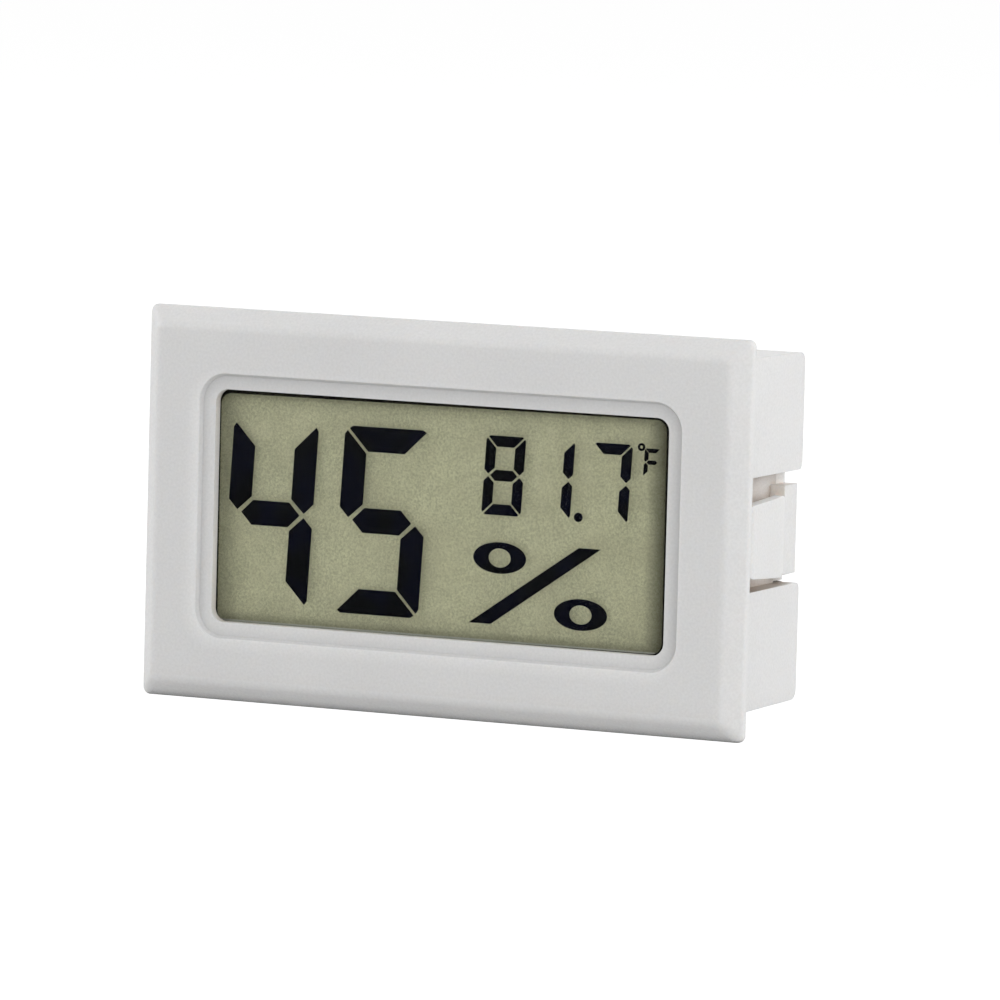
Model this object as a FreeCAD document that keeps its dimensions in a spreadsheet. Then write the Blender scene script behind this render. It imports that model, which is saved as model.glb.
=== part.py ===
import FreeCAD, Part
import math
import os
import Sketcher

# Panel thermo-hygrometer: a snap-in panel meter with a sunk liquid crystal display.
# Millimetres. +X is to the right and +Z is up as the display is read. The display faces -Y.
# The origin is the centre of the bezel's rear face, which seats on the panel, so the bezel stands
# in front of Y = 0 and the housing behind it goes through the panel's cut-out.

# Driving dimensions
DIMENSIONS = {
    "bezel_width": 48.0,
    "bezel_height": 28.6,
    "bezel_depth": 1.8,
    "bezel_chamfer": 1.3,
    "bezel_front_edge": 0.85,
    "bezel_side_edge": 0.4,
    "bezel_corner": 0.5,
    "housing_width": 44.4,
    "housing_height": 25.4,
    "housing_depth": 13.4,
    "draft_width": 0.25,
    "draft_height": 0.12,
    "housing_edge": 0.8,
    "wall": 1.15,
    "window_width": 36.1,
    "window_height": 16.95,
    "window_corner": 0.95,
    "border_width": 1.19,
    "border_depth": 0.4,
    "border_draft": 0.2,
    "display_recess": 1.1,
    "notch_height": 8.2,
    "notch_depth": 1.35,
    "notch_wall": 0.9,
    "notch_edge": 0.5,
    "clip_reach": 23.6,
    "clip_shift": -0.18,
    "clip_thickness": 0.8,
    "clip_nose_height": 5.2,
    "clip_bend_height": 5.86,
    "clip_neck_height": 4.4,
    "clip_root_height": 6.46,
    "clip_root_length": 2.6,
    "clip_root_lean": 0.17,
    "clip_straight": 5.0,
    "clip_bend": 4.017,
    "clip_nose_gap": 0.9,
    "clip_nose_edge": 0.65,
    "clip_hook": 1.4,
    "clip_rear_inset": 0.35,
    "fit": 0.1,
    "ledge_width": 2.0,
    "ledge_spacing": 12.0,
    "corner_ledge_start": 1.5,
    "corner_ledge_end": 4.0,
    "cover_thickness": 1.6,
    "snap_height": 0.3,
    "snap_width": 5.0,
    "snap_spacing": 24.0,
    "post_radius": 1.0,
    "post_spacing": 35.0,
    "post_rise": 17.0,
    "bay_shift": -4.5,
    "cell_radius": 5.8,
    "cell_height": 5.4,
    "cell_cap_radius": 4.3,
    "cell_cap_height": 0.7,
    "cell_pitch": 12.2,
    "cell_clearance": 0.2,
    "well_wall": 0.9,
    "well_floor": 0.8,
    "door_thickness": 1.2,
    "door_margin": 1.3,
    "door_tab_length": 0.8,
    "door_tab_width": 3.0,
    "door_tab_thickness": 0.7,
    "door_tab_spacing": 8.0,
    "door_corner": 0.8,
    "bridge_thickness": 0.2,
    "bridge_height": 4.0,
    "bridge_end": 2.5,
    "dimple_radius": 1.2,
    "contact_width": 3.0,
    "contact_height": 6.0,
    "contact_leg": 1.0,
    "contact_nub": 1.0,
    "contact_thickness": 0.2,
    "contact_lift": 0.4,
    "vent_length": 10.0,
    "vent_width": 1.0,
    "vent_pitch": 2.0,
    "vent_centre": 15.0,
    "glass_width": 38.6,
    "glass_height": 21.0,
    "glass_ledge": 1.7,
    "glass_thickness": 0.55,
    "rear_glass_thickness": 0.4,
    "glass_gap": 0.1,
    "ink_clearance": 0.01,
    "film_inset": 0.3,
    "seal_width": 0.4,
    "polarizer_thickness": 0.1,
    "reflector_thickness": 0.25,
    "zebra_thickness": 1.3,
    "zebra_length": 33.0,
    "board_thickness": 1.0,
    "board_stand_off": 2.6,
    "chip_radius": 3.6,
    "chip_height": 1.1,
    "chip_drop": 1.2,
    "sensor_width": 5.0,
    "sensor_height": 8.0,
    "sensor_thickness": 0.7,
    "sensor_stand_off": 1.0,
    "sensor_leg": 0.5,
    "bead_radius": 0.9,
    "bead_stand_off": 1.3,
    "bead_across": 11.0,
    "bead_drop": 8.0,
    "lead_thickness": 0.4,
    "lead_pitch": 0.8,
    "row_rise": 8.4,
    "resistor_start": 9.6,
    "resistor_pitch": 1.9,
    "resistor_width": 0.8,
    "resistor_depth": 0.45,
    "resistor_height": 1.6,
    "capacitor_start": -14.6,
    "capacitor_pitch": 2.2,
    "capacitor_width": 1.25,
    "capacitor_depth": 0.8,
    "capacitor_height": 2.0,
    "digit_width": 6.85,
    "digit_height": 13.6,
    "digit_stroke": 1.8,
    "digit_gap": 0.24,
    "digit_first": -14.14,
    "digit_second": -5.13,
    "digit_rise": -0.48,
    "small_width": 3.1,
    "small_height": 5.7,
    "small_stroke": 0.78,
    "small_gap": 0.15,
    "small_first": 4.52,
    "small_second": 8.4,
    "small_third": 12.92,
    "small_rise": 3.46,
    "point_radius": 0.33,
    "point_across": 10.49,
    "point_rise": 0.87,
    "unit_width": 1.2,
    "unit_height": 1.98,
    "unit_stroke": 0.3,
    "unit_gap": 0.06,
    "unit_across": 16.13,
    "unit_rise": 5.14,
    "degree_radius": 0.28,
    "degree_hole": 0.12,
    "degree_across": 15.3,
    "degree_rise": 6.2,
    "percent_first_across": 4.37,
    "percent_first_rise": -2.46,
    "percent_second_across": 10.87,
    "percent_second_rise": -6.11,
    "percent_ring_across": 2.08,
    "percent_ring_rise": 1.13,
    "percent_hole_across": 0.89,
    "percent_hole_rise": 0.69,
    "percent_bar_foot": 2.05,
    "percent_bar_top": 10.6,
    "percent_bar_width": 1.72,
    "percent_foot": -7.25,
    "percent_top": -1.33,
    "slant": 0.052,
}


class Size:
    """A length with its value and the formula that takes it from the sheet's cells."""

    def __init__(self, value, formula):
        self.value = value
        self.formula = formula

    def __add__(self, other):
        other = as_size(other)
        return Size(self.value + other.value, f"({self.formula} + {other.formula})")

    def __sub__(self, other):
        other = as_size(other)
        return Size(self.value - other.value, f"({self.formula} - {other.formula})")

    def __mul__(self, other):
        other = as_size(other)
        return Size(self.value * other.value, f"({self.formula} * {other.formula})")

    def __truediv__(self, other):
        other = as_size(other)
        return Size(self.value / other.value, f"({self.formula} / {other.formula})")

    def __radd__(self, other):
        return as_size(other) + self

    def __rsub__(self, other):
        return as_size(other) - self

    def __rmul__(self, other):
        return as_size(other) * self

    def __neg__(self):
        return Size(-self.value, f"(0 - {self.formula})")

    def __abs__(self):
        return Size(abs(self.value), f"abs({self.formula})")


def as_size(number):
    """A Size for a Size or a plain number."""
    if isinstance(number, Size):
        return number
    return Size(float(number), f"{float(number):.6f}")


doc = FreeCAD.newDocument("panel_meter")
sheet = doc.addObject("Spreadsheet::Sheet", "dims")
for row, (alias, number) in enumerate(DIMENSIONS.items(), start=1):
    sheet.set(f"A{row}", alias)
    sheet.set(f"B{row}", f"{number}")
    sheet.setAlias(f"B{row}", alias)
doc.recompute()


class Dimensions:
    """The sheet's cells by name, each as a Size."""

    def __getattr__(self, alias):
        return Size(float(sheet.get(alias)), f"dims.{alias}")


d = Dimensions()

# Levels along Y, from the bezel's front to the housing's rear
front = -d.bezel_depth
border_foot = front + d.border_depth
display_front = front + d.display_recess
front_glass_face = display_front + d.polarizer_thickness
ink_face = front_glass_face + d.glass_thickness
rear_glass_face = ink_face + d.glass_gap
reflector_face = rear_glass_face + d.rear_glass_thickness
board_face = d.board_stand_off
board_back = board_face + d.board_thickness
rear = d.housing_depth
cover_face = rear - d.cover_thickness
door_seat = rear - d.door_thickness
cell_rear = door_seat - 2 * d.bridge_thickness
cell_face = cell_rear - d.cell_height
well_inside = cell_face - d.contact_lift
well_outside = well_inside - d.well_floor
tab_rear = door_seat + d.door_tab_thickness
snap_depth = d.cover_thickness / 3
snap_front = cover_face + snap_depth

# Half widths and heights of the housing and what fits in it
rear_half_width = d.housing_width / 2 - d.draft_width
rear_half_height = d.housing_height / 2 - d.draft_height
inner_half_width = rear_half_width - d.wall
inner_half_height = rear_half_height - d.wall
notch_half = d.notch_height / 2
pocket_wall = rear_half_width - d.notch_depth
pocket_inside = pocket_wall - d.notch_wall
pocket_half = notch_half + d.notch_wall
cell_offset = d.cell_pitch / 2
well_radius = d.cell_radius + d.cell_clearance
door_half_width = cell_offset + well_radius + d.door_margin
door_half_height = well_radius + d.door_margin
glass_half_width = d.glass_width / 2
glass_half_height = d.glass_height / 2
inner_glass_half_height = glass_half_height - d.glass_ledge


def set_size(thing, name, size):
    """Binds one property of an object to the sheet."""
    thing.setExpression(name, as_size(size).formula)


def place(thing, x=0.0, y=0.0, z=0.0, rotation=None):
    """Places an object at lengths taken from the sheet."""
    if rotation is not None:
        thing.Placement = FreeCAD.Placement(FreeCAD.Vector(), rotation)
    for axis, size in zip("xyz", (x, y, z)):
        set_size(thing, f"Placement.Base.{axis}", size)


def origin_plane(body, role):
    """One of a body's own origin planes, found by its role."""
    return next(item for item in body.Origin.OriginFeatures if item.Role == role)


def new_body(label):
    """A body that holds one moulded or cut piece."""
    body = doc.addObject("PartDesign::Body", label + "_body")
    body.Label = label
    return body


def body_sketch(body, name, role="XZ_Plane", level=0.0, x=0.0, z=0.0):
    """A sketch on a body's origin plane. On XZ_Plane, level is the sketch's Y."""
    sketch = body.newObject("Sketcher::SketchObject", name)
    sketch.AttachmentSupport = [(origin_plane(body, role), "")]
    sketch.MapMode = "FlatFace"
    normal = -as_size(level) if role == "XZ_Plane" else level
    for axis, size in zip("xyz", (x, z, normal)):
        set_size(sketch, f"AttachmentOffset.Base.{axis}", size)
    return sketch


def bind(sketch, constraint, size):
    """Adds a dimensional constraint and binds it to the sheet."""
    index = sketch.addConstraint(constraint)
    sketch.setExpression(f"Constraints[{index}]", as_size(size).formula)


def add_outline(sketch, points):
    """Adds a closed outline of straight lines through points given as pairs of lengths."""
    pairs = [(as_size(x), as_size(y)) for x, y in points]
    vectors = [FreeCAD.Vector(x.value, y.value, 0) for x, y in pairs]
    first = None
    for start, end in zip(vectors, vectors[1:] + vectors[:1]):
        index = sketch.addGeometry(Part.LineSegment(start, end), False)
        first = index if first is None else first
    count = len(pairs)
    for step, (x, y) in enumerate(pairs):
        line = first + step
        following = first + (step + 1) % count
        sketch.addConstraint(Sketcher.Constraint("Coincident", line, 2, following, 1))
        bind(sketch, Sketcher.Constraint("DistanceX", -1, 1, line, 1, x.value), x)
        bind(sketch, Sketcher.Constraint("DistanceY", -1, 1, line, 1, y.value), y)


def add_box(sketch, low_x, high_x, low_y, high_y):
    """Adds a rectangle between two X and two Y lengths."""
    add_outline(sketch, [(low_x, low_y), (high_x, low_y), (high_x, high_y), (low_x, high_y)])


def add_centred_box(sketch, width, height):
    """Adds a rectangle round the sketch's origin."""
    half_x, half_y = as_size(width) / 2, as_size(height) / 2
    add_box(sketch, -half_x, half_x, -half_y, half_y)


def add_circle(sketch, radius, x=0.0, y=0.0):
    """Adds a circle."""
    x, y, radius = as_size(x), as_size(y), as_size(radius)
    centre = FreeCAD.Vector(x.value, y.value, 0)
    normal = FreeCAD.Vector(0, 0, 1)
    index = sketch.addGeometry(Part.Circle(centre, normal, radius.value), False)
    bind(sketch, Sketcher.Constraint("DistanceX", -1, 1, index, 3, x.value), x)
    bind(sketch, Sketcher.Constraint("DistanceY", -1, 1, index, 3, y.value), y)
    bind(sketch, Sketcher.Constraint("Radius", index, radius.value), radius)


def add_rounded_box(sketch, width, height, radius):
    """Adds a centred rectangle with rounded corners."""
    half_x, half_y, radius = as_size(width) / 2, as_size(height) / 2, as_size(radius)
    inner_x, inner_y = half_x - radius, half_y - radius
    corners = [
        (inner_x, -inner_y, -90),
        (inner_x, inner_y, 0),
        (-inner_x, inner_y, 90),
        (-inner_x, -inner_y, 180),
    ]
    arcs = []
    for x, y, start in corners:
        circle = Part.Circle(FreeCAD.Vector(x.value, y.value, 0), FreeCAD.Vector(0, 0, 1), radius.value)
        arc = Part.ArcOfCircle(circle, math.radians(start), math.radians(start + 90))
        arcs.append(sketch.addGeometry(arc, False))
    curves = [sketch.Geometry[index] for index in arcs]
    lines = []
    for this, following in zip(curves, curves[1:] + curves[:1]):
        lines.append(sketch.addGeometry(Part.LineSegment(this.EndPoint, following.StartPoint), False))
    for step, (x, y, start) in enumerate(corners):
        arc, line, following = arcs[step], lines[step], arcs[(step + 1) % 4]
        sketch.addConstraint(Sketcher.Constraint("Tangent", arc, 2, line, 1))
        sketch.addConstraint(Sketcher.Constraint("Tangent", line, 2, following, 1))
        bind(sketch, Sketcher.Constraint("DistanceX", -1, 1, arc, 3, x.value), x)
        bind(sketch, Sketcher.Constraint("DistanceY", -1, 1, arc, 3, y.value), y)
    bind(sketch, Sketcher.Constraint("Radius", arcs[0], radius.value), radius)
    sketch.addConstraint(Sketcher.Constraint("Vertical", lines[0]))
    sketch.addConstraint(Sketcher.Constraint("Horizontal", lines[1]))
    sketch.addConstraint(Sketcher.Constraint("Vertical", lines[2]))


def solid_volume(body):
    """The volume of a body as it stands."""
    doc.recompute()
    return body.Shape.Volume


def extrude(body, kind, sketch, length, rearward):
    """Pads or pockets a sketch along its normal and makes sure that the volume changes the right way."""
    before = solid_volume(body) if body.Tip else 0.0
    feature = body.newObject(f"PartDesign::{kind}", sketch.Name + "_" + kind.lower())
    feature.Profile = sketch
    set_size(feature, "Length", length)
    # a pad follows the sketch's normal and a pocket goes against it, and XZ_Plane's normal is -Y
    feature.Reversed = rearward if kind == "Pad" else not rearward
    sketch.Visibility = False
    after = solid_volume(body)
    grew = after > before + 1e-6
    if grew != (kind == "Pad") or abs(after - before) < 1e-6:
        raise RuntimeError(f"{sketch.Name} changed the volume from {before:.3f} to {after:.3f}")
    return feature


def loft(body, kind, first, last):
    """Adds or takes away the straight-sided form between two sketches."""
    before = solid_volume(body) if body.Tip else 0.0
    feature = body.newObject(f"PartDesign::{kind}Loft", first.Name + "_loft")
    feature.Profile = first
    feature.Sections = [last]
    feature.Ruled = True
    after = solid_volume(body)
    if (after > before) != (kind == "Additive") or abs(after - before) < 1e-6:
        raise RuntimeError(f"{first.Name} changed the volume from {before:.3f} to {after:.3f}")
    return feature


def round_edges(body, name, radius, chosen):
    """Fillets the edges of a body's tip for which chosen(edge) is true."""
    doc.recompute()
    base = body.Tip
    names = [f"Edge{n}" for n, edge in enumerate(base.Shape.Edges, start=1) if chosen(edge)]
    if not names:
        raise RuntimeError(f"no edge found for {name}")
    fillet = body.newObject("PartDesign::Fillet", name)
    fillet.Base = (base, names)
    set_size(fillet, "Radius", radius)
    doc.recompute()
    return fillet


def lies_at(edge, axis, size, both_sides=False):
    """Whether an edge lies wholly at one length along an axis, or also at its mirror image."""
    middle = edge.valueAt((edge.FirstParameter + edge.LastParameter) / 2)
    points = [vertex.Point for vertex in edge.Vertexes] + [middle]
    levels = [size.value, -size.value] if both_sides else [size.value]
    return any(all(abs(getattr(point, axis) - level) < 1e-4 for point in points) for level in levels)


def runs_along(edge, axes):
    """Whether an edge goes from end to end along these axes, and along no other."""
    first, last = edge.Vertexes[0].Point, edge.Vertexes[-1].Point
    moved = [axis for axis in "xyz" if abs(getattr(first, axis) - getattr(last, axis)) > 1e-4]
    return "".join(moved) == axes


def box(name, width, depth, height, x, y, z):
    """A block centred on x and z, with its front face at y."""
    block = doc.addObject("Part::Box", name)
    for prop, size in (("Length", width), ("Width", depth), ("Height", height)):
        set_size(block, prop, size)
    place(block, as_size(x) - as_size(width) / 2, y, as_size(z) - as_size(height) / 2)
    return block


def disc(name, radius, depth, x, y, z):
    """A cylinder along +Y whose front face is at y."""
    cylinder = doc.addObject("Part::Cylinder", name)
    set_size(cylinder, "Radius", radius)
    set_size(cylinder, "Height", depth)
    place(cylinder, x, y, z, FreeCAD.Rotation(FreeCAD.Vector(1, 0, 0), -90))
    return cylinder


def boolean(kind, name, shapes):
    """A fusion of several shapes, or the first shape with the others cut away."""
    if kind == "MultiFuse" or len(shapes) == 2:
        tools = shapes
    else:
        tools = [shapes[0], boolean("MultiFuse", name + "_tools", shapes[1:])]
    result = doc.addObject(f"Part::{kind}", name)
    if kind == "MultiFuse":
        result.Shapes = tools
    else:
        result.Base, result.Tool = tools
    for shape in tools:
        shape.Visibility = False
    return result


def labelled(shape, label):
    """Gives a finished piece the name of its file."""
    shape.Label = label
    return shape


def front_case():
    """Bezel, window, side walls and clip pockets, moulded in one."""
    body = new_body("front_case")
    # bezel: a straight rim on the panel, then a chamfered front, all with soft edges
    rim = body_sketch(body, "bezel_rim")
    add_centred_box(rim, d.bezel_width, d.bezel_height)
    extrude(body, "Pad", rim, d.bezel_depth - d.bezel_chamfer, rearward=False)
    chamfer_foot = front + d.bezel_chamfer
    wide = body_sketch(body, "bezel_wide", level=chamfer_foot)
    add_centred_box(wide, d.bezel_width, d.bezel_height)
    narrow = body_sketch(body, "bezel_narrow", level=front)
    add_centred_box(narrow, d.bezel_width - 2 * d.bezel_chamfer, d.bezel_height - 2 * d.bezel_chamfer)
    loft(body, "Additive", wide, narrow)
    round_edges(
        body,
        "bezel_front_rounding",
        d.bezel_front_edge,
        lambda edge: lies_at(edge, "y", front) or runs_along(edge, "xyz"),
    )
    round_edges(body, "bezel_corner_rounding", d.bezel_corner, lambda edge: runs_along(edge, "y"))
    round_edges(
        body, "bezel_side_rounding", d.bezel_side_edge, lambda edge: lies_at(edge, "y", chamfer_foot)
    )
    # housing: a tapered block that goes through the panel
    root = body_sketch(body, "housing_root")
    add_centred_box(root, d.housing_width, d.housing_height)
    tail = body_sketch(body, "housing_tail", level=rear)
    add_centred_box(tail, 2 * rear_half_width, 2 * rear_half_height)
    loft(body, "Additive", root, tail)
    # notches at both ends, where the clips stand
    outside = d.bezel_width
    notches = body_sketch(body, "clip_notches")
    for side in (-1, 1):
        near, far = sorted((side * pocket_wall, side * outside), key=lambda size: size.value)
        add_box(notches, near, far, -notch_half, notch_half)
    extrude(body, "Pocket", notches, rear, rearward=True)
    # the rear edges that run across are soft, and those at the sides stay sharp
    for name, radius, level in (
        ("rear_rounding", d.housing_edge, rear_half_height),
        ("notch_rounding", d.notch_edge, notch_half),
    ):
        round_edges(
            body,
            name,
            radius,
            lambda edge: lies_at(edge, "y", rear) and lies_at(edge, "z", level, both_sides=True),
        )
    # inside, open to the rear, with a step in at each notch
    inside = body_sketch(body, "inside", level=rear)
    add_outline(inside, stepped_outline(0.0))
    extrude(body, "Pocket", inside, rear - display_front, rearward=False)
    # the walls behind the notches stop where the cover's ends lie on them
    seats = body_sketch(body, "cover_seats", level=rear)
    add_box(seats, -pocket_wall - d.fit, pocket_wall + d.fit, -notch_half, notch_half)
    extrude(body, "Pocket", seats, d.cover_thickness, rearward=False)
    # ledges that locate the glass and carry the board
    ledges = body_sketch(body, "board_ledges", level=display_front)
    for low, high in ledge_spans():
        for side in (-1, 1):
            ends = sorted((side * low[1], side * high[1]), key=lambda size: size.value)
            add_box(ledges, low[0], high[0], *ends)
    extrude(body, "Pad", ledges, board_face - display_front, rearward=True)
    # window in a shallow border, whose wall leans in to a flat ledge
    border_steps = (
        ("border_outside", front, d.border_width),
        ("border_inside", border_foot, d.border_width - d.border_draft),
    )
    sketches = []
    for name, level, width in border_steps:
        sketch = body_sketch(body, name, level=level)
        corner = d.window_corner + width
        add_rounded_box(sketch, d.window_width + 2 * width, d.window_height + 2 * width, corner)
        sketches.append(sketch)
    loft(body, "Subtractive", *sketches)
    window = body_sketch(body, "window", level=front)
    add_rounded_box(window, d.window_width, d.window_height, d.window_corner)
    extrude(body, "Pocket", window, d.display_recess, rearward=True)
    # blind grooves in the long walls, which take the cover's snap ribs
    grooves = body_sketch(body, "snap_grooves", level=snap_front - d.fit)
    for x in (-d.snap_spacing / 2, d.snap_spacing / 2):
        half = d.snap_width / 2 + d.fit
        reach = inner_half_height + d.snap_height
        add_box(grooves, x - half, x + half, -reach, reach)
    extrude(body, "Pocket", grooves, snap_depth + 2 * d.fit, rearward=True)
    return body


def stepped_outline(gap):
    """The housing's inner outline, drawn in by a gap all round."""
    wide, narrow = inner_half_width - gap, pocket_inside - gap
    top, step = inner_half_height - gap, pocket_half + gap
    right = [(wide, -top), (wide, -step), (narrow, -step), (narrow, step), (wide, step), (wide, top)]
    left = [(-x, -y) for x, y in right]
    return right + left


def ledge_spans():
    """Low and high corners, for the upper half, of the ledges on the long walls and in the corners."""
    half = d.ledge_width / 2
    low, high = glass_half_height + d.fit, inner_half_height
    centres = (-d.ledge_spacing, as_size(0.0), d.ledge_spacing)
    spans = [((x - half, low), (x + half, high)) for x in centres]
    corner_low, corner_high = pocket_half + d.corner_ledge_start, pocket_half + d.corner_ledge_end
    inner = glass_half_width + d.fit
    spans.append(((inner, corner_low), (inner_half_width, corner_high)))
    spans.append(((-inner_half_width, corner_low), (-inner, corner_high)))
    return spans


def well_outline(sketch, extra):
    """Adds the outline round two cells that lie side by side: two circles joined by a neck."""
    radius = well_radius + extra
    neck = radius / 2
    offset = cell_offset
    angle = math.asin(0.5)
    reach = radius * math.cos(angle)
    arcs = []
    spans = ((offset, angle - math.pi, math.pi - angle), (-offset, angle, -angle))
    for centre, start, end in spans:
        circle = Part.Circle(FreeCAD.Vector(centre.value, 0, 0), FreeCAD.Vector(0, 0, 1), radius.value)
        arcs.append(sketch.addGeometry(Part.ArcOfCircle(circle, start, end), False))
    right, left = arcs
    inner = offset - reach
    corners = [(inner, neck), (-inner, neck), (-inner, -neck), (inner, -neck)]
    vectors = [FreeCAD.Vector(x.value, y.value, 0) for x, y in corners]
    upper = sketch.addGeometry(Part.LineSegment(vectors[0], vectors[1]), False)
    lower = sketch.addGeometry(Part.LineSegment(vectors[2], vectors[3]), False)
    joints = ((right, 2, upper, 1), (left, 1, upper, 2), (left, 2, lower, 1), (right, 1, lower, 2))
    for arc, end, line, start in joints:
        sketch.addConstraint(Sketcher.Constraint("Coincident", arc, end, line, start))
    for arc, centre in ((right, offset), (left, -offset)):
        bind(sketch, Sketcher.Constraint("DistanceX", -1, 1, arc, 3, centre.value), centre)
        sketch.addConstraint(Sketcher.Constraint("PointOnObject", arc, 3, -1))
        bind(sketch, Sketcher.Constraint("Radius", arc, radius.value), radius)
    sketch.addConstraint(Sketcher.Constraint("Horizontal", upper))
    sketch.addConstraint(Sketcher.Constraint("Horizontal", lower))
    bind(sketch, Sketcher.Constraint("DistanceY", -1, 1, upper, 1, neck.value), neck)
    bind(sketch, Sketcher.Constraint("DistanceY", lower, 1, -1, 1, neck.value), neck)


def rear_cover():
    """Rear plate with cell well, vents, board posts and the two snap clips, moulded in one."""
    body = new_body("rear_cover")
    plate = body_sketch(body, "cover_plate", level=cover_face)
    add_outline(plate, stepped_outline(d.fit))
    extrude(body, "Pad", plate, d.cover_thickness, rearward=True)
    # the ends that lie over the case's pocket walls
    ends = body_sketch(body, "cover_ends", level=cover_face)
    end_half = notch_half - d.fit
    add_box(ends, -pocket_wall, pocket_wall, -end_half, end_half)
    extrude(body, "Pad", ends, d.cover_thickness, rearward=True)
    # snap ribs on the long edges
    ribs = body_sketch(body, "snap_ribs", level=snap_front)
    reach = inner_half_height + d.snap_height - d.fit
    for x in (-d.snap_spacing / 2, d.snap_spacing / 2):
        add_box(ribs, x - d.snap_width / 2, x + d.snap_width / 2, -reach, reach)
    extrude(body, "Pad", ribs, snap_depth, rearward=True)
    # well for the two cells
    well = body_sketch(body, "well_outside", level=well_outside, x=d.bay_shift)
    well_outline(well, d.well_wall)
    extrude(body, "Pad", well, rear - well_outside, rearward=True)
    hollow = body_sketch(body, "well_hollow", level=well_inside, x=d.bay_shift)
    well_outline(hollow, as_size(0.0))
    extrude(body, "Pocket", hollow, rear - well_inside, rearward=True)
    # seat of the door, and the two slots for its tabs
    seat = body_sketch(body, "door_seat", level=door_seat, x=d.bay_shift)
    add_rounded_box(seat, 2 * door_half_width, 2 * door_half_height, d.door_corner + d.fit)
    extrude(body, "Pocket", seat, d.door_thickness, rearward=True)
    slots = body_sketch(body, "tab_slots", level=tab_rear + d.fit, x=d.bay_shift)
    for z in (-d.door_tab_spacing / 2, d.door_tab_spacing / 2):
        half = d.door_tab_width / 2 + d.fit
        outer_end = -door_half_width - d.door_tab_length - 2 * d.fit
        # the slot runs on under the door, where the tab's heel turns as the door tips open
        add_box(slots, outer_end, -door_half_width + d.door_thickness / 2, z - half, z + half)
    extrude(body, "Pocket", slots, tab_rear + d.fit - cover_face + d.fit, rearward=False)
    # a hollow beside the door for a fingernail
    nail = body_sketch(body, "nail_hollow", level=door_seat, x=d.bay_shift + door_half_width)
    add_circle(nail, d.door_tab_width / 2)
    extrude(body, "Pocket", nail, d.door_thickness, rearward=True)
    # openings for the cell contacts in the floor
    floor = body_sketch(body, "contact_openings", level=well_outside, x=d.bay_shift)
    half_width = d.contact_width / 2 + d.fit
    opening_top = d.contact_height / 2
    opening_foot = opening_top - d.contact_leg - 2 * d.fit
    for x in (-cell_offset, cell_offset):
        add_box(floor, x - half_width, x + half_width, opening_foot, opening_top)
    extrude(body, "Pocket", floor, d.well_floor, rearward=True)
    # vents over the humidity sensor
    vents = body_sketch(body, "vents", level=cover_face, x=d.vent_centre)
    for step in (-2, -1, 0, 1, 2):
        x = step * d.vent_pitch
        add_box(vents, x - d.vent_width / 2, x + d.vent_width / 2, -d.vent_length / 2, d.vent_length / 2)
    extrude(body, "Pocket", vents, d.cover_thickness, rearward=True)
    # posts that hold the board on its ledges
    posts = body_sketch(body, "board_posts", level=board_back)
    for x in (-d.post_spacing / 2, d.post_spacing / 2):
        for z in (-d.post_rise / 2, d.post_rise / 2):
            add_circle(posts, d.post_radius, x, z)
    extrude(body, "Pad", posts, cover_face - board_back, rearward=True)
    snap_clips(body)
    return body


def snap_clips(body):
    """The spring clips: a root on the cover's end, and a bent tongue that runs forward to a hook."""
    root_face = rear - d.clip_root_length
    nose = d.clip_nose_gap
    nose_back = nose + d.clip_thickness
    bend = nose_back + d.clip_straight
    outer = d.clip_reach
    inner = outer - d.clip_thickness
    tail = rear_half_width - d.clip_rear_inset
    root_outer = tail + d.clip_root_lean
    # the bend keeps its length along the tongue, so the further the tongue leans the tighter it is
    bend_radius = d.clip_bend * (root_face - bend) / abs(outer - root_outer)
    profile = [
        (pocket_wall - d.fit, rear),
        (pocket_wall - d.fit, cover_face),
        (pocket_wall, cover_face),
        (pocket_wall, root_face),
        (root_outer - d.clip_thickness, root_face),
        (inner, bend),
        (inner, nose_back),
        (outer - d.clip_hook, nose_back),
        (outer - d.clip_hook, nose),
        (outer, nose),
        (outer, bend),
        (root_outer, root_face),
        (tail, rear),
    ]
    sketch = body_sketch(body, "clip_tongue", role="XY_Plane", level=d.clip_shift)
    add_outline(sketch, profile)
    tongue = body.newObject("PartDesign::Pad", "clip_tongue_pad")
    tongue.Profile = sketch
    tongue.Midplane = True
    set_size(tongue, "Length", d.clip_root_height)
    # in front of its root the tongue has a narrow neck, widens to the bend and narrows to the nose
    taper = body_sketch(body, "clip_taper", role="YZ_Plane", level=pocket_wall + d.fit)
    heights = ((nose, d.clip_nose_height), (bend, d.clip_bend_height), (root_face, d.clip_neck_height))
    beyond = d.clip_root_height
    for side in (-1, 1):
        edge = [(y, d.clip_shift + side * height / 2) for y, height in heights]
        ends = [(root_face, side * beyond), (as_size(0.0), side * beyond), (as_size(0.0), edge[0][1])]
        add_outline(taper, edge + ends)
    trimmed = body.newObject("PartDesign::Pocket", "clip_trim")
    trimmed.Profile = taper
    trimmed.Reversed = True
    set_size(trimmed, "Length", d.clip_reach)
    doc.recompute()
    mirrored = body.newObject("PartDesign::Mirrored", "clip_mirror")
    mirrored.Originals = [tongue, trimmed]
    mirrored.MirrorPlane = (origin_plane(body, "YZ_Plane"), [""])
    body.Tip = mirrored
    round_edges(
        body,
        "clip_bend_rounding",
        bend_radius,
        lambda edge: lies_at(edge, "y", bend) and lies_at(edge, "x", outer, both_sides=True),
    )
    round_edges(
        body,
        "clip_nose_rounding",
        d.clip_nose_edge,
        lambda edge: lies_at(edge, "y", nose)
        and (runs_along(edge, "x") or lies_at(edge, "x", outer, both_sides=True)),
    )


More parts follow.
